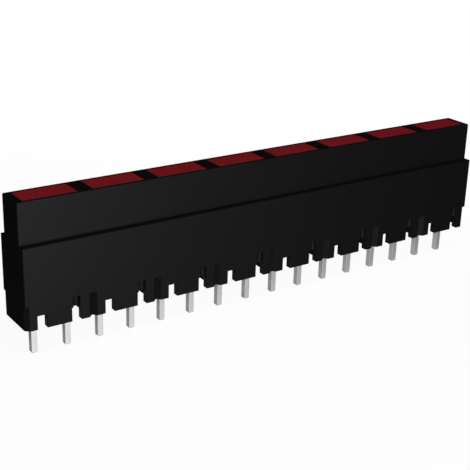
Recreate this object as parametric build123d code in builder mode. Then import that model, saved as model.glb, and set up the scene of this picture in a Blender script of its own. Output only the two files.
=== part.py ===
# LED array: flush rectangular lamps in one black moulded housing, on a single row of straight solder leads.
# X runs along the row, -Y is the side with the cathode marks, and Z is up. All sizes are in millimetres.
# The origin is the middle of the lead row, on the plane of the housing's feet, where the board's face comes.

import os
from math import sqrt

from build123d import *

os.makedirs("parts", exist_ok=True)

# The row
lamp_count = 8
lamp_pitch = 5.08
lead_pitch = 2.54

# Housing, stacked upwards from the board: feet, deep body, narrower head
foot_height = 1.80
body_height = 4.15
head_height = 3.00
end_relief = 0.05
edge_break = 0.05

# Housing walls
head_wall = 0.27
ledge_width = 0.61
body_wall = 0.50
partition = 0.60

# Feet
foot_chamfer = 0.30
notch_width = 0.72
notch_height = 1.00
mark_radius = 0.27

# Lamp body: a lens that fills the window, on a flange that seats against the shoulder of its pocket
lens_width = 3.95
lens_depth = 1.80
lens_clearance = 0.03
lamp_lift = 0.20
flange_thickness = 1.00
flange_clearance = 0.04
flange_key = 0.35

# Leads, stamped from one sheet
lead_width = 0.41
sheet_thickness = 0.46
lead_below = 2.52
lead_tip_bevel = 0.05

# Lead frame inside the lens: heights are above the lens's lower face
anvil_foot = 1.30
anvil_shoulder = 2.30
anvil_throat = 2.90
head_underside = 3.50
cup_rim = 4.00
land_underside = 3.40
land_top = 4.05
frame_gap = 0.30

# Reflector cup, chip and bond wire
cup_head_radius = 0.45
cup_rim_radius = 0.36
cup_depth = 0.28
cup_wall_angle = 24
chip_side = 0.26
chip_thickness = 0.18
ball_radius = 0.045
ball_thickness = 0.04
wire_diameter = 0.03
wire_rise = 0.45
wedge_length = 0.12
wedge_width = 0.06
wedge_thickness = 0.03

# Heights above the board
ledge_level = foot_height + body_height
top_level = ledge_level + head_height
lens_level = foot_height + lamp_lift
shoulder_level = lens_level + flange_thickness
rim_level = lens_level + cup_rim
chip_level = rim_level - cup_depth
land_level = lens_level + land_top

# Lengths and depths that follow
housing_length = lamp_count * lamp_pitch - 2 * end_relief
bore_width = lens_width + 2 * lens_clearance
bore_depth = lens_depth + 2 * lens_clearance
head_depth = bore_depth + 2 * head_wall
body_depth = head_depth + 2 * ledge_width
pocket_width = lamp_pitch - partition
pocket_depth = body_depth - 2 * body_wall
flange_width = pocket_width - 2 * flange_clearance
flange_depth = pocket_depth - 2 * flange_clearance

# Places along X in the lead frame, from each lamp's centre
lead_centre = lead_pitch / 2
lead_outer = lead_centre + lead_width / 2
lead_inner = lead_centre - lead_width / 2
land_inner = cup_head_radius + frame_gap
land_centre = (land_inner + lead_outer) / 2


def across_row(level):
    """The horizontal plane at a height above the board."""
    return Plane.XY.offset(level)


def in_lamp(centre_x, level):
    """The horizontal plane at a height above the board, centred on one lamp."""
    return Plane(origin=(centre_x, 0, level), z_dir=(0, 0, 1))


def sheet_of(centre_x):
    """The upright plane of one lamp's lead frame: its x is X and its y is Z, seen from the marked side."""
    return Plane(origin=(centre_x, 0, 0), x_dir=(1, 0, 0), z_dir=(0, -1, 0))


# Housing
with BuildPart() as housing:
    with BuildSketch(across_row(foot_height)) as body_outline:
        Rectangle(housing_length, body_depth)
        chamfer(body_outline.vertices(), edge_break)
    extrude(amount=body_height)
    chamfer(housing.edges().group_by(Axis.Z)[-1].filter_by(Axis.X), edge_break)

    with BuildSketch(across_row(ledge_level)) as head_outline:
        Rectangle(housing_length, head_depth)
        chamfer(head_outline.vertices(), edge_break)
    extrude(amount=head_height)
    chamfer(housing.edges().group_by(Axis.Z)[-1], edge_break)

    # Feet: each lamp's share of the row has four chamfered corners, so neighbours meet in a groove
    with BuildSketch(across_row(0)) as foot_outline:
        Rectangle(housing_length, body_depth)
        chamfer(foot_outline.vertices(), foot_chamfer)
        with GridLocations(lamp_pitch, body_depth, lamp_count - 1, 2):
            Rectangle(foot_chamfer * sqrt(2), foot_chamfer * sqrt(2), rotation=45, mode=Mode.SUBTRACT)
    extrude(amount=foot_height)

    # Pockets for the lamps' flanges, open at the board, and the windows above them
    with BuildSketch(across_row(0)):
        with GridLocations(lamp_pitch, 0, lamp_count, 1):
            Rectangle(pocket_width, pocket_depth)
    extrude(amount=shoulder_level, mode=Mode.SUBTRACT)
    with BuildSketch(across_row(shoulder_level)):
        with GridLocations(lamp_pitch, 0, lamp_count, 1):
            Rectangle(bore_width, bore_depth)
    extrude(amount=top_level - shoulder_level, mode=Mode.SUBTRACT)

    # Notches beside every lead, through the front and rear feet
    with BuildSketch(across_row(0)):
        with GridLocations(lamp_pitch, 0, lamp_count, 1):
            with GridLocations(lead_pitch, 0, 2, 1):
                Rectangle(notch_width, body_depth)
    extrude(amount=notch_height, mode=Mode.SUBTRACT)

    # Cathode marks: a half-round flute above the second notch of each lamp, on the front only
    with BuildSketch(across_row(notch_height)):
        with GridLocations(lamp_pitch, 0, lamp_count, 1):
            with Locations((lead_centre, -body_depth / 2)):
                Circle(mark_radius)
    extrude(amount=foot_height - notch_height, mode=Mode.SUBTRACT)

housing.part.label = "housing"
export_step(housing.part, "parts/housing.step")


def bevel_tip(lead):
    """Breaks the four edges of a lead's lower end."""
    chamfer(lead.faces().sort_by(Axis.Z)[0].edges(), lead_tip_bevel)


def make_cathode_lead(centre_x):
    """The lead on the marked side's right, with the anvil and the reflector cup at the lamp's centre."""
    with BuildPart() as lead:
        with BuildSketch(sheet_of(centre_x)):
            with BuildLine():
                Polyline(
                    (lead_outer, -lead_below),
                    (lead_outer, lens_level + anvil_shoulder),
                    (cup_head_radius, lens_level + head_underside),
                    (-cup_head_radius, lens_level + head_underside),
                    (-cup_head_radius, lens_level + anvil_throat),
                    (lead_inner, lens_level + anvil_foot),
                    (lead_inner, -lead_below),
                    close=True,
                )
            make_face()
        extrude(amount=sheet_thickness / 2, both=True)
        bevel_tip(lead)
        with BuildSketch(in_lamp(centre_x, lens_level + head_underside)):
            Circle(cup_head_radius)
        extrude(amount=cup_rim - head_underside)
        with BuildSketch(in_lamp(centre_x, rim_level)):
            Circle(cup_rim_radius)
        extrude(amount=-cup_depth, taper=cup_wall_angle, mode=Mode.SUBTRACT)
    return lead.part


def make_anode_lead(centre_x):
    """The lead on the marked side's left, with a land for the bond wire at its upper end."""
    with BuildPart() as lead:
        with BuildSketch(sheet_of(centre_x)):
            with BuildLine():
                Polyline(
                    (-lead_outer, -lead_below),
                    (-lead_outer, land_level),
                    (-land_inner, land_level),
                    (-land_inner, lens_level + land_underside),
                    (-lead_inner, lens_level + anvil_shoulder),
                    (-lead_inner, -lead_below),
                    close=True,
                )
            make_face()
        extrude(amount=sheet_thickness / 2, both=True)
        bevel_tip(lead)
    return lead.part


def make_chip(centre_x):
    """The light-emitting chip, on the floor of the cup."""
    with BuildPart() as chip:
        with BuildSketch(in_lamp(centre_x, chip_level)):
            Rectangle(chip_side, chip_side)
        extrude(amount=chip_thickness)
    return chip.part


def make_bond_wire(centre_x):
    """The wire from a ball on the chip's upper face, in one arc, to a flattened end on the anode's land."""
    ball_level = chip_level + chip_thickness
    arc_start = (0, ball_level + ball_thickness / 2)
    arc_top = (-land_centre / 2, land_level + wire_rise)
    arc_end = (-land_centre, land_level + wedge_thickness / 2)
    with BuildPart() as wire:
        with BuildSketch(in_lamp(centre_x, ball_level)):
            Circle(ball_radius)
        extrude(amount=ball_thickness)
        with BuildLine(sheet_of(centre_x)) as path:
            ThreePointArc(arc_start, arc_top, arc_end)
        with BuildSketch(Plane(origin=path.line @ 0, z_dir=path.line % 0)):
            Circle(wire_diameter / 2)
        sweep(path=path.line)
        with BuildSketch(in_lamp(centre_x, land_level)):
            with Locations((-land_centre, 0)):
                Rectangle(wedge_length, wedge_width)
        extrude(amount=wedge_thickness)
    return wire.part


def make_lens(centre_x, held):
    """The cast epoxy body of one lamp, closed round the pieces that it holds."""
    with BuildPart() as lens:
        with BuildSketch(in_lamp(centre_x, lens_level)) as flange:
            Rectangle(flange_width, flange_depth)
            chamfer(flange.vertices().sort_by(Axis.Y)[:2].sort_by(Axis.X)[-1], flange_key)
        extrude(amount=flange_thickness)
        with BuildSketch(in_lamp(centre_x, shoulder_level)):
            Rectangle(lens_width, lens_depth)
        extrude(amount=top_level - shoulder_level)
        add(held, mode=Mode.SUBTRACT)
    return lens.part


# Lamps, numbered from the left as seen from the marked side
for number in range(lamp_count):
    lamp_x = (number - (lamp_count - 1) / 2) * lamp_pitch
    pieces = {
        "anode_lead": make_anode_lead(lamp_x),
        "cathode_lead": make_cathode_lead(lamp_x),
        "chip": make_chip(lamp_x),
        "bond_wire": make_bond_wire(lamp_x),
    }
    pieces["lens"] = make_lens(lamp_x, list(pieces.values()))
    for piece_name, piece in pieces.items():
        piece.label = f"led_{number + 1}_{piece_name}"
        export_step(piece, f"parts/{piece.label}.step")
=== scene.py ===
from math import cos, pi, radians, sin

import bpy
import numpy as np
from mathutils import Matrix, Vector


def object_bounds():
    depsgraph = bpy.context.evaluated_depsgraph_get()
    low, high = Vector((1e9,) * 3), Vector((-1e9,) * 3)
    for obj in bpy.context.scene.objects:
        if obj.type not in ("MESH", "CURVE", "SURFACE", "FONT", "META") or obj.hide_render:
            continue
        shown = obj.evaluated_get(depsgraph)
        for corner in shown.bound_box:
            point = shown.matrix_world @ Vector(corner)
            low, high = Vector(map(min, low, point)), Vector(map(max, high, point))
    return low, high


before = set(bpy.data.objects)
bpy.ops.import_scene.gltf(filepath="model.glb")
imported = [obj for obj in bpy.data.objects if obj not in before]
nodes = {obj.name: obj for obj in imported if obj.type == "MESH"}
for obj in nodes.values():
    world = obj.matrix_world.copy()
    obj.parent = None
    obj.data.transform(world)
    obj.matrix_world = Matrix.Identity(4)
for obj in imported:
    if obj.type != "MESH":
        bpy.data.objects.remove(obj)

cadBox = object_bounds()
middle = (Vector(cadBox[0]) + Vector(cadBox[1])) / 2
millimetre = 0.001
print("frame loaded:", len(nodes), "nodes")


# Node trees

def put(tree, kind, inputs=None, **settings):
    # adds one node: an input takes a value, or a link from an output socket
    node = tree.nodes.new("ShaderNode" + kind)
    for name, value in settings.items():
        setattr(node, name, value)
    for name, value in (inputs or {}).items():
        socket = node.inputs[name]
        if isinstance(value, bpy.types.NodeSocket):
            tree.links.new(value, socket)
        elif socket.type == "RGBA":
            socket.default_value = (*value, 1.0)
        else:
            socket.default_value = value
    return node


def calculate(tree, operation, first, second=0.0):
    return put(tree, "Math", {0: first, 1: second}, operation=operation).outputs[0]


def remap(tree, value, low, high, newLow=0.0, newHigh=1.0):
    # a straight line from low..high to newLow..newHigh, held level outside them
    inputs = {"Value": value, "From Min": low, "From Max": high, "To Min": newLow, "To Max": newHigh}
    return put(tree, "MapRange", inputs, clamp=True).outputs["Result"]


def mixColour(tree, amount, first, second):
    return put(tree, "Mix", {0: amount, 6: first, 7: second}, data_type="RGBA").outputs[2]


def newGroup(name, inputs, outputs):
    # both dictionaries give each socket's kind, and an input's value
    tree = bpy.data.node_groups.new(name, "ShaderNodeTree")
    for label, (kind, value) in inputs.items():
        socket = tree.interface.new_socket(label, in_out="INPUT", socket_type="NodeSocket" + kind)
        if value is not None:
            socket.default_value = value
    for label, kind in outputs.items():
        tree.interface.new_socket(label, in_out="OUTPUT", socket_type="NodeSocket" + kind)
    entry = tree.nodes.new("NodeGroupInput").outputs
    leave = tree.nodes.new("NodeGroupOutput").inputs
    return tree, entry, leave


# Shader groups that the materials share, each placed with a material's own sizes

softEdgeShape = {"radius": 0.05 * millimetre, "samples": 6, "flat": 0.995, "leaning": 0.75}
grainShape = {"scale": 10000.0, "cloudTimes": 3.0, "cloudDetail": 3.0, "toneRange": (0.3, 0.7)}
smudgeShape = {"scale": 400.0, "detail": 4.0, "distortion": 0.6, "patchRange": (0.35, 0.68)}


def makeSoftEdges(shape):
    # rounds every edge in the shading, and masks where the rounded normal leans from the flat one:
    # the mask goes from 0 to 1 as the product of the two normals goes from flat to leaning
    tree, entry, leave = newGroup("softEdges", {"Radius": ("Float", shape["radius"])},
                                  {"Normal": "Vector", "Edge": "Float"})
    rounded = put(tree, "Bevel", {"Radius": entry["Radius"]}, samples=shape["samples"]).outputs["Normal"]
    flat = put(tree, "NewGeometry").outputs["Normal"]
    alike = put(tree, "VectorMath", {0: rounded, 1: flat}, operation="DOT_PRODUCT").outputs["Value"]
    tree.links.new(rounded, leave["Normal"])
    tree.links.new(remap(tree, alike, shape["flat"], shape["leaning"]), leave["Edge"])
    return tree


def makeGrain(shape):
    # a fine pitted skin: rounded cells, and a cloud of cloudTimes their size added to them
    tree, entry, leave = newGroup("grain", {"Place": ("Vector", None), "Scale": ("Float", shape["scale"])},
                                  {"Height": "Float", "Tone": "Float"})
    cells = put(tree, "TexVoronoi", {"Vector": entry["Place"], "Scale": entry["Scale"]}, feature="SMOOTH_F1")
    coarse = calculate(tree, "DIVIDE", entry["Scale"], shape["cloudTimes"])
    cloud = put(tree, "TexNoise", {"Vector": entry["Place"], "Scale": coarse,
                                   "Detail": shape["cloudDetail"]}).outputs["Fac"]
    tree.links.new(calculate(tree, "ADD", cells.outputs["Distance"], cloud), leave["Height"])
    tree.links.new(remap(tree, cloud, *shape["toneRange"]), leave["Tone"])
    return tree


def makeSmudges(shape):
    # broad soft patches, drawn out along the axes that Stretch makes small
    tree, entry, leave = newGroup("smudges", {"Place": ("Vector", None), "Scale": ("Float", shape["scale"]),
                                              "Stretch": ("Vector", (1.0, 1.0, 1.0))}, {"Patch": "Float"})
    place = put(tree, "VectorMath", {0: entry["Place"], 1: entry["Stretch"]}, operation="MULTIPLY").outputs[0]
    broad = put(tree, "TexNoise", {"Vector": place, "Scale": entry["Scale"], "Detail": shape["detail"],
                                   "Distortion": shape["distortion"]}).outputs["Fac"]
    tree.links.new(remap(tree, broad, *shape["patchRange"]), leave["Patch"])
    return tree


softEdges, grain, smudges = makeSoftEdges(softEdgeShape), makeGrain(grainShape), makeSmudges(smudgeShape)
print("shader groups built")


def newMaterial(name, plain):
    # plain holds the shader's sockets that are the same all over the surface
    material = bpy.data.materials.new(name)
    material.use_nodes = True
    tree = material.node_tree
    tree.nodes.clear()
    shader = put(tree, "BsdfPrincipled", plain)
    put(tree, "OutputMaterial", {"Surface": shader.outputs[0]})
    place = put(tree, "TexCoord").outputs["Object"]
    return material, tree, shader.inputs, place


def addBump(tree, sockets, height, depth, edges):
    # a bump of that depth, in metres, over the rounded edges
    bump = put(tree, "Bump", {"Height": height, "Distance": depth, "Normal": edges["Normal"]})
    tree.links.new(bump.outputs["Normal"], sockets["Normal"])


def dress(material, names):
    for name in names:
        nodes[name].data.materials.clear()
        nodes[name].data.materials.append(material)


# Housing: black moulded plastic with a fine matt skin

housingLook = {
    "colour": (0.0018, 0.0018, 0.0019),
    "paleColour": (0.0027, 0.0027, 0.0029),
    "specular": 0.108,
    "roughness": (0.52, 0.6),
    "edgeShine": 0.1,
    "grainSize": 0.07 * millimetre,
    "grainDepth": 0.003 * millimetre,
    "patchSize": 5 * millimetre,
    "patchStretch": (0.6, 1.0, 1.0),
    "edgeRadius": 0.05 * millimetre,
}


def makeHousingMaterial(look):
    material, tree, sockets, place = newMaterial("mouldedBlack", {"Specular IOR Level": look["specular"]})
    edges = put(tree, "Group", {"Radius": look["edgeRadius"]}, node_tree=softEdges).outputs
    skin = put(tree, "Group", {"Place": place, "Scale": 1 / look["grainSize"]}, node_tree=grain).outputs
    patch = put(tree, "Group", {"Place": place, "Scale": 1 / look["patchSize"],
                                "Stretch": look["patchStretch"]}, node_tree=smudges).outputs["Patch"]
    tone = calculate(tree, "MULTIPLY", calculate(tree, "ADD", patch, skin["Tone"]), 0.5)  # their mean
    tree.links.new(mixColour(tree, tone, look["colour"], look["paleColour"]), sockets["Base Color"])
    rough = remap(tree, patch, 0, 1, look["roughness"][1], look["roughness"][0])
    shine = calculate(tree, "MULTIPLY", edges["Edge"], look["edgeShine"])
    rough = calculate(tree, "SUBTRACT", rough, shine)
    tree.links.new(rough, sockets["Roughness"])
    addBump(tree, sockets, skin["Height"], look["grainDepth"], edges)
    return material


# Lenses: tinted, diffused epoxy, cast face down, with a cloud of diffusant, and painted shade darkening their
# edges

lensLook = {
    "colour": (0.185, 0.0079, 0.0113),
    "cloudColour": (0.214, 0.0099, 0.014),
    # painted shade: the darker colour that the lens takes along its edges
    "rimShadeColour": (0.1, 0.0045, 0.0065),
    "specular": 0.15,
    "roughness": (0.38, 0.5),
    "cloudSize": 0.5 * millimetre,
    "patchSize": 3 * millimetre,
    "rippleSize": 0.6 * millimetre,
    "rippleDepth": 0.004 * millimetre,
    "edgeRadius": 0.06 * millimetre,
}


def makeLensMaterial(look):
    material, tree, sockets, place = newMaterial("redEpoxy", {"Specular IOR Level": look["specular"]})
    edges = put(tree, "Group", {"Radius": look["edgeRadius"]}, node_tree=softEdges).outputs
    cloud = put(tree, "Group", {"Place": place, "Scale": 1 / look["cloudSize"]}, node_tree=grain).outputs
    ripple = put(tree, "Group", {"Place": place, "Scale": 1 / look["rippleSize"]}, node_tree=grain).outputs
    patch = put(tree, "Group", {"Place": place, "Scale": 1 / look["patchSize"]},
                node_tree=smudges).outputs["Patch"]
    body = mixColour(tree, cloud["Tone"], look["colour"], look["cloudColour"])
    # painted shade: the colour darkens towards rimShadeColour where the rounded normal leans, so every edge
    # of the lens reads as a dark rim
    tree.links.new(mixColour(tree, edges["Edge"], body, look["rimShadeColour"]), sockets["Base Color"])
    tree.links.new(remap(tree, patch, 0, 1, *look["roughness"]), sockets["Roughness"])
    addBump(tree, sockets, ripple["Height"], look["rippleDepth"], edges)
    return material


# Leads: rolled sheet, stamped and tinned, with streaks along them and a sheared tip

leadLook = {
    "colour": (0.655, 0.655, 0.65),
    "dullColour": (0.61, 0.61, 0.605),
    "shearColour": (0.65, 0.63, 0.6),
    "metallic": 1.0,
    "roughness": (0.62, 0.68),
    "dullFrom": 0.6,
    "shearRoughness": 0.7,
    "grainSize": 0.05 * millimetre,
    "grainDepth": 0.0015 * millimetre,
    "streakSize": 0.09 * millimetre,
    "streakStretch": (1.0, 1.0, 0.06),
    "edgeRadius": 0.04 * millimetre,
    "tipLevel": cadBox[0].z,
    "shearHeight": 0.05 * millimetre,
}


def makeLeadMaterial(look):
    material, tree, sockets, place = newMaterial("tinnedLead", {"Metallic": look["metallic"]})
    edges = put(tree, "Group", {"Radius": look["edgeRadius"]}, node_tree=softEdges).outputs
    skin = put(tree, "Group", {"Place": place, "Scale": 1 / look["grainSize"]}, node_tree=grain).outputs
    streaks = put(tree, "Group", {"Place": place, "Scale": 1 / look["streakSize"],
                                  "Stretch": look["streakStretch"]}, node_tree=smudges).outputs["Patch"]
    height = put(tree, "SeparateXYZ", {0: place}).outputs["Z"]
    sheared = remap(tree, height, look["tipLevel"] + look["shearHeight"], look["tipLevel"])
    tin = mixColour(tree, streaks, look["colour"], look["dullColour"])
    tree.links.new(mixColour(tree, sheared, tin, look["shearColour"]), sockets["Base Color"])
    dull = calculate(tree, "MULTIPLY", streaks, skin["Tone"])
    rough = remap(tree, dull, 0, look["dullFrom"], *look["roughness"])
    rough = calculate(tree, "MAXIMUM", rough, calculate(tree, "MULTIPLY", sheared, look["shearRoughness"]))
    tree.links.new(rough, sockets["Roughness"])
    both = calculate(tree, "ADD", skin["Height"], streaks)
    addBump(tree, sockets, both, look["grainDepth"], edges)
    return material


# Chips: sawn semiconductor, with the saw's streaks on its sides

chipLook = {
    "colour": (0.16, 0.13, 0.1),
    "sawnColour": (0.26, 0.22, 0.17),
    "roughness": (0.25, 0.6),
    "sawSize": 0.02 * millimetre,
    "sawStretch": (0.2, 0.2, 1.0),
    "grainSize": 0.015 * millimetre,
    "grainDepth": 0.0006 * millimetre,
    "edgeRadius": 0.01 * millimetre,
}


def makeChipMaterial(look):
    material, tree, sockets, place = newMaterial("sawnChip", {"Metallic": 0.0})
    edges = put(tree, "Group", {"Radius": look["edgeRadius"]}, node_tree=softEdges).outputs
    skin = put(tree, "Group", {"Place": place, "Scale": 1 / look["grainSize"]}, node_tree=grain).outputs
    sawn = put(tree, "Group", {"Place": place, "Scale": 1 / look["sawSize"],
                               "Stretch": look["sawStretch"]}, node_tree=smudges).outputs["Patch"]
    tree.links.new(mixColour(tree, sawn, look["colour"], look["sawnColour"]), sockets["Base Color"])
    tree.links.new(remap(tree, sawn, 0, 1, *look["roughness"]), sockets["Roughness"])
    addBump(tree, sockets, skin["Height"], look["grainDepth"], edges)
    return material


# Bond wires: gold, smooth from the capillary

wireLook = {
    "colour": (0.86, 0.6, 0.22),
    "paleColour": (0.9, 0.68, 0.32),
    "roughness": (0.18, 0.32),
    "patchSize": 0.05 * millimetre,
    "grainSize": 0.008 * millimetre,
    "grainDepth": 0.0003 * millimetre,
    "edgeRadius": 0.005 * millimetre,
}


def makeWireMaterial(look):
    material, tree, sockets, place = newMaterial("goldWire", {"Metallic": 1.0})
    edges = put(tree, "Group", {"Radius": look["edgeRadius"]}, node_tree=softEdges).outputs
    skin = put(tree, "Group", {"Place": place, "Scale": 1 / look["grainSize"]}, node_tree=grain).outputs
    patch = put(tree, "Group", {"Place": place, "Scale": 1 / look["patchSize"]},
                node_tree=smudges).outputs["Patch"]
    tree.links.new(mixColour(tree, patch, look["colour"], look["paleColour"]), sockets["Base Color"])
    tree.links.new(remap(tree, patch, 0, 1, *look["roughness"]), sockets["Roughness"])
    addBump(tree, sockets, skin["Height"], look["grainDepth"], edges)
    return material


dress(makeHousingMaterial(housingLook), ["housing"])
dress(makeLensMaterial(lensLook), [name for name in nodes if name.endswith("_lens")])
dress(makeLeadMaterial(leadLook), [name for name in nodes if name.endswith("_lead")])
dress(makeChipMaterial(chipLook), [name for name in nodes if name.endswith("_chip")])
dress(makeWireMaterial(wireLook), [name for name in nodes if name.endswith("_bond_wire")])
print("materials on", len(nodes), "nodes")


# Floor: a pale sheet that the leads' tips touch, seen as white, with the object's shadow on it.
# In reflections it is dark, so that the black faces stay black, but for a strip under the row, which the
# leads mirror. The strip is brighter behind the row than in front, and on both sides brighter to the right.

floorLook = {
    "halfWidth": 1.0,
    "level": cadBox[0].z,
    "colour": (0.8, 0.8, 0.8),
    "seenColour": (1.0, 1.0, 1.0),
    "seenShare": 0.95,
    "shadowReach": (0.03, 0.06),  # from the row, where the shadow fades out
    "rowHalf": (cadBox[1].x - cadBox[0].x) / 2,
    "endWeight": 6.0,  # past the row's ends the strip fades this much sooner
    "glossReach": (0.0026, 0.0038),  # from the row, where the strip fades out
    "glossFar": 0.03,
    "glossTurn": (-0.0008, 0.0008),  # along Y, from the front's strength to the rear's
    "frontRise": (-0.02, -0.006),  # along X, and so is rearRise
    "frontGloss": (0.0, 0.06),
    "rearRise": (0.0, 0.018),
    "rearGloss": (0.68, 1.0),
}


def distanceFromRow(tree, place, rowHalf, endWeight):
    # the root of y squared and of the square of endWeight times what x goes past the row's end
    parts = put(tree, "SeparateXYZ", {0: place}).outputs
    past = calculate(tree, "SUBTRACT", calculate(tree, "ABSOLUTE", parts["X"]), rowHalf)
    past = calculate(tree, "MULTIPLY", calculate(tree, "MAXIMUM", past, 0.0), endWeight)
    side = put(tree, "CombineXYZ", {"X": past, "Y": parts["Y"]}).outputs[0]
    return put(tree, "VectorMath", {0: side}, operation="LENGTH").outputs["Value"]


def makeFloor(look):
    # a square with its four corners at one level
    across = np.array([-1.0, 1.0, 1.0, -1.0]) * look["halfWidth"]
    along = np.array([-1.0, -1.0, 1.0, 1.0]) * look["halfWidth"]
    corners = np.stack([across, along, np.full(4, look["level"])], axis=1)
    mesh = bpy.data.meshes.new("floor")
    mesh.from_pydata(corners.tolist(), [], [(0, 1, 2, 3)])
    floor = bpy.data.objects.new("floor", mesh)
    bpy.context.scene.collection.objects.link(floor)
    material = bpy.data.materials.new("palePaper")
    material.use_nodes = True
    tree = material.node_tree
    tree.nodes.clear()
    paper = put(tree, "BsdfDiffuse", {"Color": look["colour"]}).outputs[0]
    path = put(tree, "LightPath").outputs
    seen = calculate(tree, "ADD", path["Is Camera Ray"], path["Is Transmission Ray"])
    seen = calculate(tree, "ADD", seen, path["Is Glossy Ray"])
    place = put(tree, "TexCoord").outputs["Object"]
    away = distanceFromRow(tree, place, look["rowHalf"], look["endWeight"])
    parts = put(tree, "SeparateXYZ", {0: place}).outputs
    frontGloss = remap(tree, parts["X"], *look["frontRise"], *look["frontGloss"])
    rearGloss = remap(tree, parts["X"], *look["rearRise"], *look["rearGloss"])
    nearGloss = remap(tree, parts["Y"], *look["glossTurn"], frontGloss, rearGloss)
    inGloss = remap(tree, away, *look["glossReach"], nearGloss, look["glossFar"])
    strength = put(tree, "Mix", {0: path["Is Glossy Ray"], 2: 1.0, 3: inGloss}).outputs[0]
    glow = put(tree, "Emission", {"Color": look["seenColour"], "Strength": strength}).outputs[0]
    share = calculate(tree, "MULTIPLY", seen, remap(tree, away, *look["shadowReach"], look["seenShare"], 1.0))
    sheet = put(tree, "MixShader", {0: share, 1: paper, 2: glow}).outputs[0]
    clear = put(tree, "BsdfTransparent").outputs[0]
    below = put(tree, "NewGeometry").outputs["Backfacing"]
    whole = put(tree, "MixShader", {0: below, 1: sheet, 2: clear}).outputs[0]
    put(tree, "OutputMaterial", {"Surface": whole})
    mesh.materials.append(material)
    return floor


floor = makeFloor(floorLook)


# World and lamps: a plain studio, white to the camera and dark in reflections

worldLook = {"colour": (1.0, 1.0, 1.0), "light": 0.01, "seen": 1.0}

lamps = {
    "key": {"turn": -14, "height": -1.5, "distance": 0.072, "size": 0.005, "level": 1.1},
    "upper": {"turn": -5, "height": 60, "distance": 0.15, "size": 0.07, "level": 0.76},
    "rear": {"turn": 150, "height": 1, "distance": 0.072, "size": 0.007, "level": 1.0},
    "leftEnd": {"turn": -90, "height": 2, "distance": 0.09, "size": 0.01, "level": 0.1},
    "rightEnd": {"turn": 90, "height": 2, "distance": 0.09, "size": 0.01, "level": 0.08},
}


def makeWorld(look):
    world = bpy.data.worlds.new("studio")
    world.use_nodes = True
    tree = world.node_tree
    tree.nodes.clear()
    path = put(tree, "LightPath").outputs
    seen = calculate(tree, "MAXIMUM", path["Is Camera Ray"], path["Is Transmission Ray"])
    strength = remap(tree, seen, 0, 1, look["light"], look["seen"])
    background = put(tree, "Background", {"Color": look["colour"], "Strength": strength})
    put(tree, "OutputWorld", {"Surface": background.outputs[0]})
    bpy.context.scene.world = world


def makeLamp(name, lamp):
    # turn is in degrees from -Y towards +X, and height in degrees above the object's middle. At level 1 a
    # surface that faces the lamp renders in its own colour: the power is the square of pi times the distance
    turn, height = radians(lamp["turn"]), radians(lamp["height"])
    toLamp = Vector((sin(turn) * cos(height), -cos(turn) * cos(height), sin(height)))
    data = bpy.data.lights.new(name, "AREA")
    data.shape = "DISK"
    data.size = lamp["size"]
    data.energy = lamp["level"] * (pi * lamp["distance"]) ** 2
    lampObject = bpy.data.objects.new(name, data)
    lampObject.location = middle + toLamp * lamp["distance"]
    lampObject.rotation_euler = toLamp.to_track_quat("Z", "Y").to_euler()
    bpy.context.scene.collection.objects.link(lampObject)


makeWorld(worldLook)
for name, lamp in lamps.items():
    makeLamp(name, lamp)
print("floor, world and", len(lamps), "lamps placed")


# Camera: the place and turn that fit the photograph's edges, in metres and radians

cameraFit = {
    "place": (-0.045138, -0.062125, 0.032194),
    "yaw": 0.6027,
    "pitch": 0.3702,
    "roll": -0.0302,
    "focalPixels": 1068.09,  # the focal length in pixels of the frame
    "framePixels": 470,
    "sensorWidth": 36.0,
    "nearest": 0.005,
    "farthest": 10.0,
}


def makeCamera(fit):
    data = bpy.data.cameras.new("camera")
    data.sensor_width = fit["sensorWidth"]
    data.lens = fit["focalPixels"] / fit["framePixels"] * fit["sensorWidth"]
    data.clip_start = fit["nearest"]
    data.clip_end = fit["farthest"]
    yaw, pitch, roll = fit["yaw"], fit["pitch"], fit["roll"]
    forward = Vector((sin(yaw) * cos(pitch), cos(yaw) * cos(pitch), -sin(pitch)))
    level = Vector((cos(yaw), -sin(yaw), 0))
    upright = level.cross(forward)
    right = level * cos(roll) - upright * sin(roll)
    up = upright * cos(roll) + level * sin(roll)
    turned = Matrix((right, up, -forward)).transposed().to_4x4()
    camera = bpy.data.objects.new("camera", data)
    camera.matrix_world = Matrix.Translation(fit["place"]) @ turned
    bpy.context.scene.collection.objects.link(camera)
    bpy.context.scene.camera = camera


makeCamera(cameraFit)
bpy.context.scene.view_settings.view_transform = "Standard"
print("camera placed")
